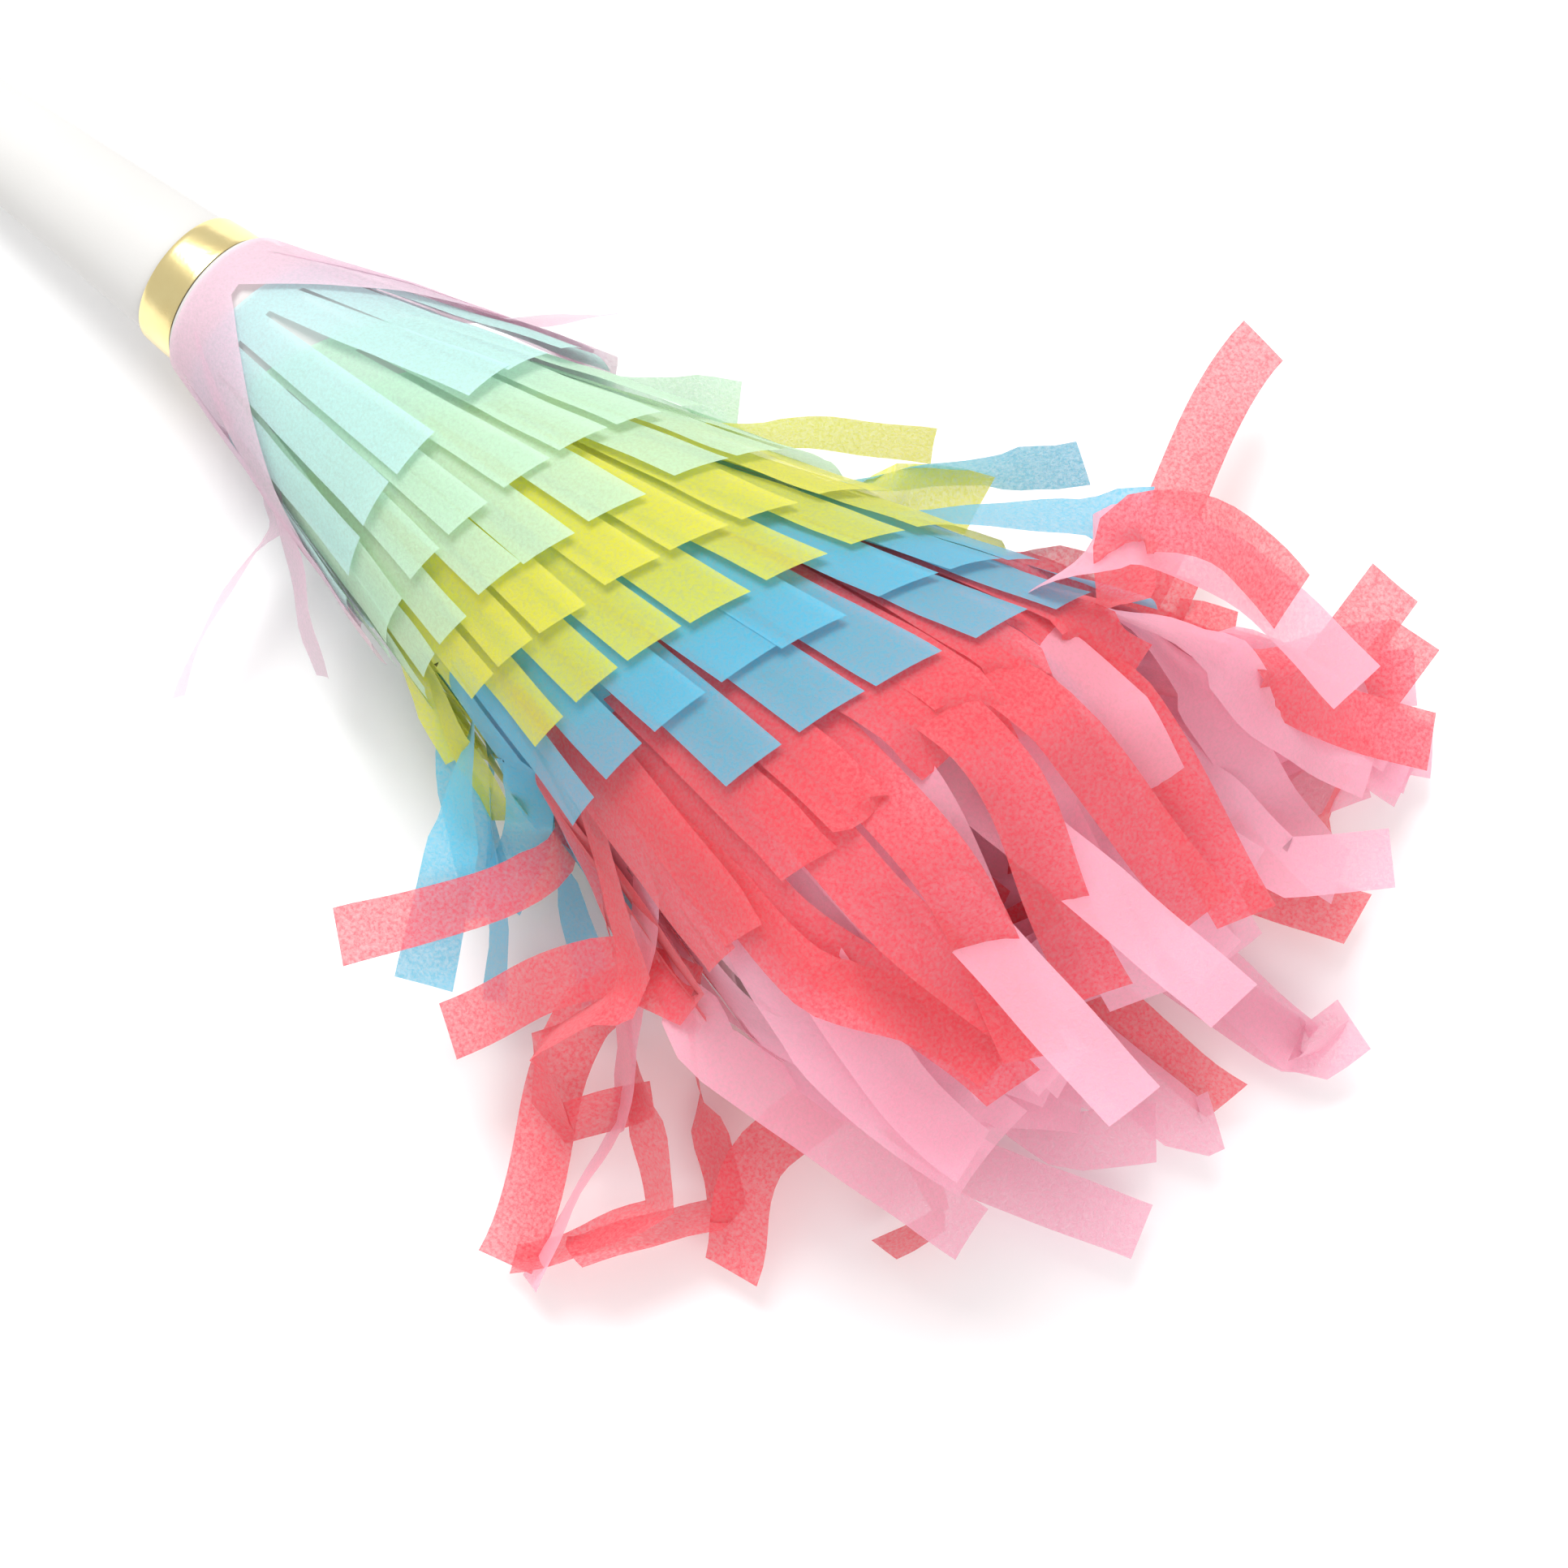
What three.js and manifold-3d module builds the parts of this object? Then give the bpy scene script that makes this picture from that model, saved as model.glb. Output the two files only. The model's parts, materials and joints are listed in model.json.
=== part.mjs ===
// A paper party horn: a white mouth tube and a card cone, covered in twelve rows of tissue-paper fringe.
// Units are millimetres and +Z is up. The horn lies on a table at z = 0, with its bell towards +X.
// Lengths "along" the horn are taken on its own axis, where 0 is the place that the fringe starts.
import * as THREE from "three";
import { mergeVertices } from "three/addons/utils/BufferGeometryUtils.js";
import Module from "manifold-3d";

const wasm = await Module();
wasm.setup();

// ---- driving dimensions ----
const CLEARANCE = 0.3; // between glued or fitted pieces
const ROUND = 32; // sides of a turned piece

const CONE_START = -1; // the cone's small end
const CONE_RIM = 98; // the bell's rim
const CONE_START_RADIUS = 9;
const CONE_SLOPE = 0.176; // radius per length, a half angle of 10 degrees
const CARD = 0.45; // card thickness

const TUBE_END = -45; // the mouth tube's small end
const TUBE_INNER_END = 12; // how far the tube reaches into the cone
const TUBE_RADIUS = 8.3; // outside, at the start of the fringe
const TUBE_SLOPE = 0.06;
const TUBE_WALL = 0.5;
const BAND_WIDTH = 5.1;
const FOIL = 0.18;

const LIP = -69; // the end that goes between the lips
const LIP_RADIUS = 5.3;
const BORE = 3.8; // radius of the air way through the mouthpiece

const REED_SEAT = -34; // bell end of the reed holder
const REED_NECK = -41; // where the holder's plug ends and its trough starts
const REED_ROOT = -45; // where the tongue leaves its clamp
const REED_TIP = -58;
const REED_RADIUS = 3.2;
const TONGUE_THICKNESS = 0.25;

const TISSUE = 0.25; // stands for the pressed plies of a fringe
const HEADER = 4; // uncut edge of a fringe, glued to the cone
const TAIL_WIDTH = 7;
const SLIT = 0.4; // gap between two tails, at the header
const LIFT = 0.105; // how fast tails rise off the card, per length
const PRESSED = 0.25; // share of the lift that is lost under the horn and gained on top
const FLARE = 0.3; // how fast tails spread past the rim, per length
const FLATTEN = 0.0092; // share of its height that the tassel loses per length past the rim
const TASSEL_STATIONS = [CONE_RIM, 107, 116, 125, 134]; // where long tails bend
const STATION_GAP = 2; // at least, between the last bends of a short tail
const RIM_FRINGE = 3.4; // depth of the fringe between the rim and the table
const FOLD_ANGLE = 1.3; // of the few tails that stand out sideways
const FOLD_SIDE = 0.93; // a tail folds out where the sine of its angle is more than this

const coneRadius = (x) => CONE_START_RADIUS + CONE_SLOPE * (x - CONE_START);
const tubeRadius = (x) => TUBE_RADIUS + TUBE_SLOPE * x;

// The horn lies on its lip and on the fringe below the rim, which gives the slope of its axis.
const RIM_FRINGE_RADIUS = coneRadius(CONE_RIM) + RIM_FRINGE;
const REST_TILT = Math.atan2(RIM_FRINGE_RADIUS - LIP_RADIUS, CONE_RIM - LIP);
const AXIS_HEIGHT = LIP_RADIUS * Math.cos(REST_TILT) - LIP * Math.sin(REST_TILT);

// ---- materials ----
const finish = (color, roughness, metalness = 0) =>
  new THREE.MeshStandardMaterial({ color, roughness, metalness });
const whiteCard = finish(0xf1efec, 0.75);
const whitePlastic = finish(0xf4f4f2, 0.35);
const goldFoil = finish(0xd8bf6a, 0.25, 1);
const brass = finish(0xc9a24b, 0.3, 1);
const palePink = finish(0xf6cfe0, 0.9);
const aqua = finish(0xb4e6e8, 0.9);
const mint = finish(0xb5ecca, 0.9);
const yellow = finish(0xe6ec3a, 0.9);
const blue = finish(0x5fbfe4, 0.9);
const coral = finish(0xf4606c, 0.9);
const pink = finish(0xf59dba, 0.9);

// ---- shapes ----
function piece(name, geometry, material) {
  const mesh = new THREE.Mesh(geometry, material);
  mesh.name = name;
  return mesh;
}

// A closed section of [along, radius] points turned about the horn's axis.
// The points run towards the bell on the inside and back on the outside.
function turned(section) {
  const outline = [...section, section[0]].map(([x, radius]) => new THREE.Vector2(radius, x));
  return new THREE.LatheGeometry(outline.reverse(), ROUND).rotateZ(-Math.PI / 2);
}

function rod(radius, from, to) {
  return turned([[from, 0], [to, 0], [to, radius], [from, radius]]);
}

function block(from, to, width, bottom, top) {
  const box = new THREE.BoxGeometry(to - from, width, top - bottom);
  return box.translate((from + to) / 2, 0, (bottom + top) / 2);
}

function solid(geometry) {
  geometry.deleteAttribute("normal");
  geometry.deleteAttribute("uv");
  const merged = mergeVertices(geometry, 1e-4);
  const faces = [];
  for (let i = 0; i < merged.index.count; i += 3) {
    const [a, b, c] = merged.index.array.subarray(i, i + 3);
    if (a !== b && b !== c && c !== a) faces.push(a, b, c);
  }
  const vertProperties = merged.attributes.position.array;
  return new wasm.Manifold(
    new wasm.Mesh({ numProp: 3, vertProperties, triVerts: new Uint32Array(faces) }),
  );
}

function geometryOf(manifold) {
  const { vertProperties, triVerts } = manifold.getMesh();
  return new THREE.BufferGeometry()
    .setAttribute("position", new THREE.BufferAttribute(vertProperties, 3))
    .setIndex(new THREE.BufferAttribute(triVerts, 1));
}

// ---- mouthpiece and reed ----
function mouthpiece() {
  const collar = TUBE_END - CLEARANCE;
  const plugRadius = tubeRadius(TUBE_END) - TUBE_WALL - CLEARANCE;
  return turned([
    [LIP, BORE],
    [TUBE_END + 12, BORE],
    [TUBE_END + 12, plugRadius + 0.5],
    [collar, plugRadius],
    [collar, 6.2],
    [collar - 2.6, 6.2],
    [collar - 3.4, 5.5],
    [LIP + 4, 4.8],
    [LIP + 2.8, LIP_RADIUS],
    [LIP + 0.8, LIP_RADIUS],
    [LIP, 4.8],
  ]);
}

// A plug with a trough in front of it. The air way is a channel under the tongue and through the plug.
function reedHolder() {
  const plug = solid(rod(BORE - CLEARANCE, REED_NECK, REED_SEAT));
  const trough = solid(rod(REED_RADIUS, REED_TIP - 1, REED_NECK + 1));
  const above = solid(block(REED_TIP - 2, REED_NECK, 8, 0, 4));
  const swing = solid(block(REED_TIP - 2, REED_ROOT, 8, -0.6, 4));
  const airWay = solid(block(REED_TIP + 1.5, REED_SEAT + 1, 2.2, -1.8, 0));
  return geometryOf(plug.add(trough.subtract(above)).subtract(swing).subtract(airWay));
}

function reedTongue() {
  return block(REED_TIP, REED_NECK - CLEARANCE, 3.4, CLEARANCE, CLEARANCE + TONGUE_THICKNESS);
}

function reedWedge() {
  const round = solid(rod(REED_RADIUS, REED_ROOT, REED_NECK - CLEARANCE));
  const under = block(REED_ROOT - 1, REED_NECK, 8, -4, 2 * CLEARANCE + TONGUE_THICKNESS);
  return geometryOf(round.subtract(solid(under)));
}

// ---- tube, band and cone ----
function shell(from, to, outerRadius, thickness) {
  return turned([
    [from, outerRadius(from) - thickness],
    [to, outerRadius(to) - thickness],
    [to, outerRadius(to)],
    [from, outerRadius(from)],
  ]);
}

function goldBand() {
  const front = CONE_START - CLEARANCE;
  return shell(front - BAND_WIDTH, front, (x) => tubeRadius(x) + CLEARANCE + FOIL, FOIL);
}

// ---- fringe ----
// Past the rim the tassel flattens on to the table.
function settled(x, y, z) {
  const past = Math.max(0, x - CONE_RIM);
  const share = 1 - FLATTEN * past;
  const table = (AXIS_HEIGHT + x * Math.sin(REST_TILT)) / Math.cos(REST_TILT);
  const tassel = RIM_FRINGE_RADIUS + (FLARE + LIFT) * past;
  return past > 0 ? [x, y, z * share + tassel * share - table] : [x, y, z];
}

// A corner of a tail. The angle is that of the tail's middle, from +Z towards +Y, and the others are
// how far across the tail it is (-0.5 to 0.5), how far along the horn, and how far through the tissue.
function tailCorner(row, angle, across, x, through) {
  const root = row.root + row.skew * Math.sin(angle);
  const free = Math.max(0, x - foldStart(row, angle));
  const laid = x - free;
  const past = Math.max(0, laid - CONE_RIM);
  const rise = LIFT * (1 + PRESSED * Math.cos(angle)) * (laid - root);
  const radius = coneRadius(laid - past) + FLARE * past + CLEARANCE + rise + TISSUE * through;
  const outward = radius + free * Math.sin(FOLD_ANGLE);
  const turn = angle + (across * TAIL_WIDTH) / radius;
  const y = outward * Math.sin(turn);
  return settled(laid + free * Math.cos(FOLD_ANGLE), y, outward * Math.cos(turn));
}

// Some tails of the long coral row fold outwards, near the widest places of the tassel.
function foldStart(row, angle) {
  const side = Math.sin(angle);
  if (!row.folds || Math.abs(side) < FOLD_SIDE) return Infinity;
  return side > 0 ? TASSEL_STATIONS[3] : TASSEL_STATIONS[1];
}

// One row of fringe: an uncut header round the cone, then tails with slits between them.
function fringe(row) {
  const headerRadius = coneRadius(row.root - row.skew) + CLEARANCE;
  const tails = Math.floor((2 * Math.PI * headerRadius) / (TAIL_WIDTH + SLIT));
  const strips = row.root < 40 ? 3 : 2; // flat strips across one tail
  const columns = tails * (strips + 1); // the last column of each tail is the slit
  const bends = TASSEL_STATIONS.filter((x) => x + STATION_GAP < row.root + row.length + row.skew);
  const stations = 3 + bends.length;

  const positions = [];
  for (let station = 0; station < stations; station += 1) {
    for (let column = 0; column < columns; column += 1) {
      const angle = ((Math.floor(column / (strips + 1)) + row.offset) * 2 * Math.PI) / tails;
      const across = (column % (strips + 1)) / strips - 0.5;
      const root = row.root + row.skew * Math.sin(angle);
      const end = root + row.length;
      const own = bends.map((x, i) => Math.min(x, end - STATION_GAP * (bends.length - i)));
      const x = [root, root + HEADER, ...own, end][station];
      positions.push(...tailCorner(row, angle, across, x, 0), ...tailCorner(row, angle, across, x, 1));
    }
  }

  const isPaper = (column, r) =>
    r >= 0 && r < stations - 1 && (r === 0 || (column + columns) % (strips + 1) < strips);
  const index = [];
  for (let r = 0; r < stations - 1; r += 1) {
    for (let column = 0; column < columns; column += 1) {
      if (!isPaper(column, r)) continue;
      const corner = (dc, dr, side) => ((r + dr) * columns + ((column + dc) % columns)) * 2 + side;
      const quad = (...corners) => {
        const [a, b, c, d] = corners.map((each) => corner(...each));
        index.push(a, b, c, a, c, d);
      };
      quad([0, 0, 1], [0, 1, 1], [1, 1, 1], [1, 0, 1]);
      quad([0, 0, 0], [1, 0, 0], [1, 1, 0], [0, 1, 0]);
      if (!isPaper(column, r - 1)) quad([0, 0, 0], [0, 0, 1], [1, 0, 1], [1, 0, 0]);
      if (!isPaper(column, r + 1)) quad([0, 1, 0], [1, 1, 0], [1, 1, 1], [0, 1, 1]);
      if (!isPaper(column - 1, r)) quad([0, 0, 0], [0, 1, 0], [0, 1, 1], [0, 0, 1]);
      if (!isPaper(column + 1, r)) quad([1, 0, 0], [1, 0, 1], [1, 1, 1], [1, 1, 0]);
    }
  }
  return new THREE.BufferGeometry()
    .setAttribute("position", new THREE.Float32BufferAttribute(positions, 3))
    .setIndex(index);
}

// The strips are wound on a slant: each reaches further on its +Y side than on its -Y side, by twice the skew.
const ROWS = [
  { name: "fringe_pale_pink", material: palePink, root: -0.6, length: 44, skew: 0 },
  { name: "fringe_aqua", material: aqua, root: 6, length: 34, skew: 2 },
  { name: "fringe_mint_upper", material: mint, root: 17, length: 35, skew: 7 },
  { name: "fringe_mint_lower", material: mint, root: 26, length: 35.5, skew: 10 },
  { name: "fringe_yellow_upper", material: yellow, root: 34.5, length: 36, skew: 12 },
  { name: "fringe_yellow_lower", material: yellow, root: 43, length: 37, skew: 12 },
  { name: "fringe_blue_upper", material: blue, root: 51.5, length: 37, skew: 12 },
  { name: "fringe_blue_lower", material: blue, root: 60, length: 38, skew: 12 },
  { name: "fringe_coral_upper", material: coral, root: 67.5, length: 42, skew: 10 },
  { name: "fringe_coral_lower", material: coral, root: 75, length: 66, skew: 8, folds: true },
  { name: "fringe_pink_upper", material: pink, root: 82.5, length: 62, skew: 5 },
  { name: "fringe_pink_lower", material: pink, root: 89.5, length: 61.5, skew: 3.5 },
];

// ---- the horn ----
const horn = new THREE.Group();
horn.rotation.y = -REST_TILT;
horn.add(
  piece("mouthpiece", mouthpiece(), whitePlastic),
  piece("reed_holder", reedHolder(), whitePlastic),
  piece("reed_wedge", reedWedge(), whitePlastic),
  piece("reed_tongue", reedTongue(), brass),
  piece("mouth_tube", shell(TUBE_END, TUBE_INNER_END, tubeRadius, TUBE_WALL), whiteCard),
  piece("gold_band", goldBand(), goldFoil),
  piece("horn_cone", shell(CONE_START, CONE_RIM, coneRadius, CARD), whiteCard),
  ...ROWS.map((row, i) => piece(row.name, fringe({ ...row, offset: 0.37 * i }), row.material)),
);

// The origin is on the table, below the middle of the whole horn.
const extent = new THREE.Box3().setFromObject(horn, true);
const middle = extent.getCenter(new THREE.Vector3());
horn.position.set(-middle.x, -middle.y, -extent.min.z);

const part = new THREE.Group();
part.add(horn);
export default part;
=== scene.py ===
# A paper party horn covered in rows of tissue fringe, lying on a pale table.
# Sizes are in millimetres on the horn's own axes: along it towards the bell, to its side, and up.
# Along is 0 where the fringe starts. Everything is put into the frame's metres as it is built.
import json
import math
import random

import bpy
import numpy as np
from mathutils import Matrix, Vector


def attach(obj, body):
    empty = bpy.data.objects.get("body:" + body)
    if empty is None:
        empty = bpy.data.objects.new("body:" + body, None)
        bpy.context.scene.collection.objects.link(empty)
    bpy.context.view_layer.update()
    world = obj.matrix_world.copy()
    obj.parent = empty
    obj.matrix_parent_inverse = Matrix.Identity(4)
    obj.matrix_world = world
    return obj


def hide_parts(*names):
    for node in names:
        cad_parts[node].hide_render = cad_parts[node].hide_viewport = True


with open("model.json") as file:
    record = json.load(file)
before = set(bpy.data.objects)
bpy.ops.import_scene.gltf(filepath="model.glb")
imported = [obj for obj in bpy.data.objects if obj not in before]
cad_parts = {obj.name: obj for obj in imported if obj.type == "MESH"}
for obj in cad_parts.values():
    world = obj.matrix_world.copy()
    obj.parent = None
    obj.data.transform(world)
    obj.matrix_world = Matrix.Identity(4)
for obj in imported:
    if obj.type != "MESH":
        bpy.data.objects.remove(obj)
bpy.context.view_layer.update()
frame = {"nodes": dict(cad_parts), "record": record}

# ---- where the horn lies ----
MM = 0.001
LIP = -69.0
LIP_FACE_RADIUS = 4.3
lip_end = next(mount for mount in frame["record"]["mounts"] if mount["name"] == "lip_end")
ALONG = -Vector(lip_end["axis"]).normalized()
SIDE = Vector((0, 1, 0))
UP = ALONG.cross(SIDE)
START = Vector(lip_end["pos_m"]) - UP * LIP_FACE_RADIUS * MM - ALONG * LIP * MM
AXES = np.array([ALONG, SIDE, UP])
TABLE = np.array(START / MM)  # the start of the fringe, from the table's origin


def to_table(points):
    """Points on the horn's axes as millimetres on the table's axes."""
    return np.asarray(points) @ AXES + TABLE


# ---- sizes of the design ----
CONE_START, CONE_RIM = -1.0, 98.0
CONE_START_RADIUS, CONE_SLOPE, CARD = 9.0, 0.176, 0.45
TUBE_END, TUBE_INNER_END = -45.0, 12.0
TUBE_RADIUS, TUBE_SLOPE, TUBE_WALL = 8.3, 0.06, 0.5
BAND_BACK, BAND_FRONT, FOIL, FOIL_SWELL = -6.4, -1.3, 0.18, 0.05
LIP_RADIUS, LIP_EDGE_RADIUS, BORE, PLUG_DEPTH = 5.3, 4.8, 3.8, 12
COLLAR_RADIUS, NECK_RADIUS, MOULDED_EDGE = 6.2, 5.5, 0.5
CLEARANCE = 0.3
# how far a rolled sheet climbs in its one turn, and where its seam is, in degrees from the top
TUBE_LAP, FOIL_LAP, CONE_LAP = 0.18, 0.08, 0.16
TUBE_SEAM, FOIL_SEAM, CONE_SEAM = 150, 200, 165
TAIL_WIDTH = 7.6  # where the cone is wide enough
SLIT = 0.4  # gap between two tails
HEADER = 4.0  # uncut edge of a strip, glued to the cone
LIFT = 0.105  # how fast tails rise off the card, per length
PRESSED = 0.25  # share of the lift that is lost under the horn and gained on top
FLARE = 0.3  # how fast laid tails spread past the rim, per length
FLATTEN = 0.0092  # share of its height that the tassel loses per length past the rim
RIM_FRINGE = 3.4  # depth of the fringe between the rim and the table
PAPER_GAP = 0.1  # between the tissue and what it lies on


def cone_radius(x):
    return CONE_START_RADIUS + CONE_SLOPE * (x - CONE_START)


def tube_radius(x):
    return TUBE_RADIUS + TUBE_SLOPE * x


RIM_FRINGE_RADIUS = cone_radius(CONE_RIM) + RIM_FRINGE


# ---- camera, light and table ----
AZIMUTH, ELEVATION, FOCAL_LENGTH = 39.2, 76.7, 83.9
CAMERA_FROM_START = (143.9, -75.8, 396.4)


def make_camera():
    azimuth, elevation = math.radians(AZIMUTH), math.radians(ELEVATION)
    data = bpy.data.cameras.new("camera")
    data.lens = FOCAL_LENGTH
    data.clip_start = 0.01
    camera = bpy.data.objects.new("camera", data)
    camera.location = START + Vector(CAMERA_FROM_START) * MM
    camera.rotation_euler = (math.pi / 2 - elevation, 0, azimuth)
    bpy.context.scene.collection.objects.link(camera)
    bpy.context.scene.camera = camera


def area_light(name, place, aim, size, power, color=(1, 1, 1)):
    data = bpy.data.lights.new(name, "AREA")
    data.shape = "DISK"
    data.size = size
    data.energy = power
    data.color = color
    light = bpy.data.objects.new(name, data)
    light.location = place
    light.rotation_euler = (Vector(aim) - Vector(place)).to_track_quat("-Z", "Y").to_euler()
    bpy.context.scene.collection.objects.link(light)


def make_light():
    area_light("window", (-0.5, 0.35, 0.9), (0, 0, 0.02), 0.7, 11)
    area_light("fill", (0.8, -0.4, 0.7), (0.03, 0, 0.02), 0.9, 5)
    world = bpy.data.worlds.new("studio")
    world.use_nodes = True
    background = world.node_tree.nodes["Background"]
    background.inputs["Color"].default_value = (1, 1, 1, 1)
    background.inputs["Strength"].default_value = 0.75
    bpy.context.scene.world = world
    bpy.context.scene.view_settings.view_transform = "Standard"


# ---- node helpers ----
class Nodes:
    """Makes nodes in one tree, with sockets set by name."""

    def __init__(self, tree):
        self.tree = tree
        tree.nodes.clear()

    def add(self, kind, **values):
        node = self.tree.nodes.new(kind)
        for name, value in values.items():
            setattr(node, name, value)
        return node

    def link(self, a, b):
        self.tree.links.new(a, b)

    def ramp(self, factor, stops):
        node = self.add("ShaderNodeValToRGB")
        elements = node.color_ramp.elements
        while len(elements) < len(stops):
            elements.new(0.5)
        for element, (position, grey) in zip(elements, stops):
            element.position = position
            element.color = (grey, grey, grey, 1)
        self.link(factor, node.inputs[0])
        return node.outputs[0]


def node_group(name, inputs, outputs):
    """A shader node group with named sockets: each is (name, kind, default)."""
    group = bpy.data.node_groups.new(name, "ShaderNodeTree")
    for label, kind, default in inputs:
        socket = group.interface.new_socket(label, in_out="INPUT", socket_type="NodeSocket" + kind)
        socket.default_value = default
    for label, kind in outputs:
        group.interface.new_socket(label, in_out="OUTPUT", socket_type="NodeSocket" + kind)
    nodes = Nodes(group)
    return nodes, nodes.add("NodeGroupInput").outputs, nodes.add("NodeGroupOutput").inputs


def tissue_group():
    """Tissue paper: cloudy formation, fine fibres and small creases, all in true size."""
    nodes, given, out = node_group(
        "tissue_paper",
        [
            ("Color", "Color", (1, 1, 1, 1)),
            ("Cloud Scale", "Float", 2600.0),
            ("Fibre Scale", "Float", 5200.0),
            ("Contrast", "Float", 0.18),
        ],
        [("Color", "Color"), ("Alpha", "Float"), ("Height", "Float"), ("Roughness", "Float")],
    )
    place = nodes.add("ShaderNodeTexCoord").outputs["Object"]
    clouds = nodes.add("ShaderNodeTexNoise")
    clouds.inputs["Detail"].default_value = 3
    clouds.inputs["Roughness"].default_value = 0.6
    nodes.link(place, clouds.inputs["Vector"])
    nodes.link(given["Cloud Scale"], clouds.inputs["Scale"])
    bend = nodes.add("ShaderNodeVectorMath", operation="MULTIPLY_ADD")
    bend.inputs[1].default_value = (0.0006, 0.0006, 0.0006)
    nodes.link(clouds.outputs["Color"], bend.inputs[0])
    nodes.link(place, bend.inputs[2])
    fibres = nodes.add("ShaderNodeTexVoronoi", feature="DISTANCE_TO_EDGE")
    nodes.link(bend.outputs[0], fibres.inputs["Vector"])
    nodes.link(given["Fibre Scale"], fibres.inputs["Scale"])
    thread = nodes.ramp(fibres.outputs["Distance"], [(0.0, 1.0), (0.09, 0.0)])
    density = nodes.ramp(clouds.outputs["Fac"], [(0.32, 0.0), (0.68, 1.0)])
    mixed = nodes.add("ShaderNodeMath", operation="MULTIPLY_ADD")
    mixed.inputs[1].default_value = 0.35
    nodes.link(thread, mixed.inputs[0])
    nodes.link(density, mixed.inputs[2])
    # thick places are deeper in colour and thin places paler
    pale = nodes.add("ShaderNodeMix", data_type="RGBA", blend_type="MIX")
    pale.inputs[7].default_value = (1, 1, 1, 1)
    thin = nodes.add("ShaderNodeMath", operation="MULTIPLY")
    inverse = nodes.add("ShaderNodeMath", operation="SUBTRACT", use_clamp=True)
    inverse.inputs[0].default_value = 1
    nodes.link(mixed.outputs[0], inverse.inputs[1])
    nodes.link(inverse.outputs[0], thin.inputs[0])
    nodes.link(given["Contrast"], thin.inputs[1])
    nodes.link(thin.outputs[0], pale.inputs[0])
    nodes.link(given["Color"], pale.inputs[6])
    nodes.link(pale.outputs[2], out["Color"])
    cover = nodes.add("ShaderNodeMapRange")
    cover.inputs["To Min"].default_value = 0.6
    cover.inputs["To Max"].default_value = 0.82
    nodes.link(mixed.outputs[0], cover.inputs["Value"])
    nodes.link(cover.outputs[0], out["Alpha"])
    nodes.link(mixed.outputs[0], out["Height"])
    rough = nodes.add("ShaderNodeMapRange")
    rough.inputs["To Min"].default_value = 0.7
    rough.inputs["To Max"].default_value = 0.9
    nodes.link(density, rough.inputs["Value"])
    nodes.link(rough.outputs[0], out["Roughness"])
    return nodes.tree


def grain_group():
    """A fine grain for card and plastic: a mottled value and a height."""
    nodes, given, out = node_group(
        "fine_grain",
        [
            ("Color", "Color", (1, 1, 1, 1)),
            ("Shade", "Color", (0.8, 0.8, 0.8, 1)),
            ("Grain Scale", "Float", 2500.0),
            ("Stain Scale", "Float", 60.0),
            ("Stain", "Float", 0.5),
        ],
        [("Color", "Color"), ("Height", "Float"), ("Mask", "Float")],
    )
    place = nodes.add("ShaderNodeTexCoord").outputs["Object"]
    grain = nodes.add("ShaderNodeTexNoise")
    grain.inputs["Detail"].default_value = 4
    stain = nodes.add("ShaderNodeTexNoise")
    stain.inputs["Detail"].default_value = 3
    for texture, scale in ((grain, "Grain Scale"), (stain, "Stain Scale")):
        nodes.link(place, texture.inputs["Vector"])
        nodes.link(given[scale], texture.inputs["Scale"])
    both = nodes.add("ShaderNodeMath", operation="MULTIPLY")
    nodes.link(nodes.ramp(stain.outputs["Fac"], [(0.35, 0.0), (0.75, 1.0)]), both.inputs[0])
    nodes.link(given["Stain"], both.inputs[1])
    mixed = nodes.add("ShaderNodeMix", data_type="RGBA")
    nodes.link(both.outputs[0], mixed.inputs[0])
    nodes.link(given["Color"], mixed.inputs[6])
    nodes.link(given["Shade"], mixed.inputs[7])
    nodes.link(mixed.outputs[2], out["Color"])
    nodes.link(grain.outputs["Fac"], out["Height"])
    nodes.link(stain.outputs["Fac"], out["Mask"])
    return nodes.tree


TISSUE_PAPER = tissue_group()
FINE_GRAIN = grain_group()


def new_material(name):
    material = bpy.data.materials.new(name)
    material.use_nodes = True
    return material, Nodes(material.node_tree)


def use_group(nodes, tree, **values):
    node = nodes.add("ShaderNodeGroup", node_tree=tree)
    for name, value in values.items():
        node.inputs[name.replace("_", " ")].default_value = value
    return node


def bumped(nodes, height, strength, distance):
    bump = nodes.add("ShaderNodeBump")
    bump.inputs["Strength"].default_value = strength
    bump.inputs["Distance"].default_value = distance
    nodes.link(height, bump.inputs["Height"])
    return bump.outputs["Normal"]


def shown(nodes, shader):
    nodes.link(shader.outputs[0], nodes.add("ShaderNodeOutputMaterial").inputs["Surface"])


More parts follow.
